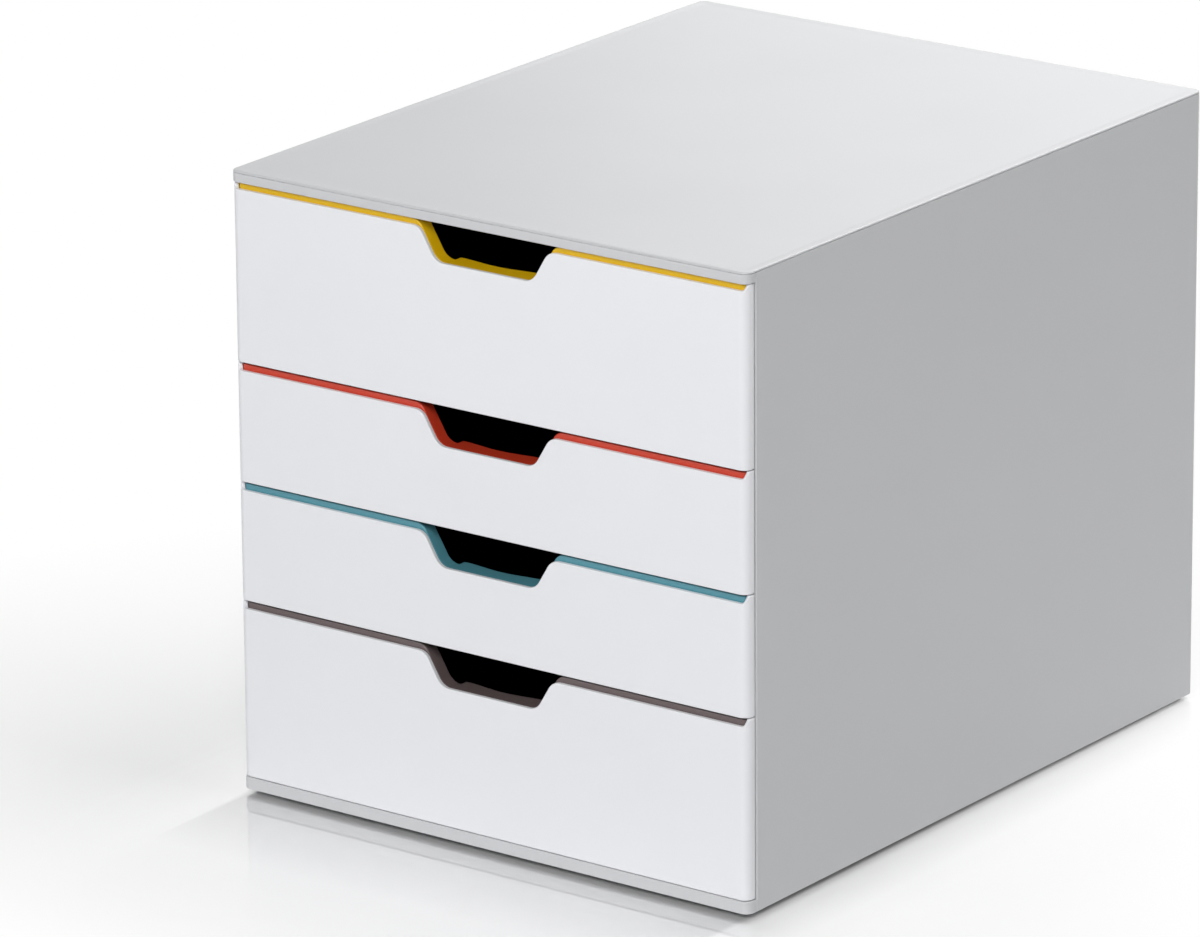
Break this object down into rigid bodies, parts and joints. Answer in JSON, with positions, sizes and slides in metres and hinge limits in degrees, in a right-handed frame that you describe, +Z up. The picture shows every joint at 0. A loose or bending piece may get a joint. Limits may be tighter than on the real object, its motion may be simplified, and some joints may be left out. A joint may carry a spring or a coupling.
{
  "type": "desktop drawer tower",
  "caption": "Desktop drawer tower for paper: grey casing with tall and short drawers, each with a white front, a finger notch and a coloured edge profile.",
  "frame": {"origin": "middle of the footprint, on the surface that the feet stand on", "axes": "+X to the right seen from the front, +Y from the drawer fronts to the back, +Z up"},
  "size_m": [0.28, 0.356, 0.292],
  "materials": {
    "casing_grey": "satin light grey moulded plastic",
    "front_white": "satin white moulded plastic",
    "tray_charcoal": "matte charcoal moulded plastic",
    "foot_rubber": "matte black rubber",
    "profile_yellow": "satin yellow plastic",
    "profile_red": "satin orange-red plastic",
    "profile_teal": "satin teal plastic",
    "profile_taupe": "satin taupe plastic"
  },
  "bodies": {
    "casing": {"base_panel": "casing_grey", "left_side_wall": "casing_grey", "right_side_wall": "casing_grey", "rear_panel": "casing_grey", "top_frame": "casing_grey", "top_cover": "casing_grey", "foot_front_left": "foot_rubber", "foot_front_right": "foot_rubber", "foot_rear_left": "foot_rubber", "foot_rear_right": "foot_rubber"},
    "drawer_1": {"drawer_1_front": "front_white", "drawer_1_profile": "profile_yellow", "drawer_1_tray": "tray_charcoal"},
    "drawer_2": {"drawer_2_front": "front_white", "drawer_2_profile": "profile_red", "drawer_2_tray": "tray_charcoal"},
    "drawer_3": {"drawer_3_front": "front_white", "drawer_3_profile": "profile_teal", "drawer_3_tray": "tray_charcoal"},
    "drawer_4": {"drawer_4_front": "front_white", "drawer_4_profile": "profile_taupe", "drawer_4_tray": "tray_charcoal"}
  },
  "joints": [
    {"name": "drawer_1_slide", "type": "slide", "parent": "casing", "child": "drawer_1", "axis": [0, -1, 0], "range_m": [0, 0.24]},
    {"name": "drawer_2_slide", "type": "slide", "parent": "casing", "child": "drawer_2", "axis": [0, -1, 0], "range_m": [0, 0.24]},
    {"name": "drawer_3_slide", "type": "slide", "parent": "casing", "child": "drawer_3", "axis": [0, -1, 0], "range_m": [0, 0.24]},
    {"name": "drawer_4_slide", "type": "slide", "parent": "casing", "child": "drawer_4", "axis": [0, -1, 0], "range_m": [0, 0.24]}
  ]
}
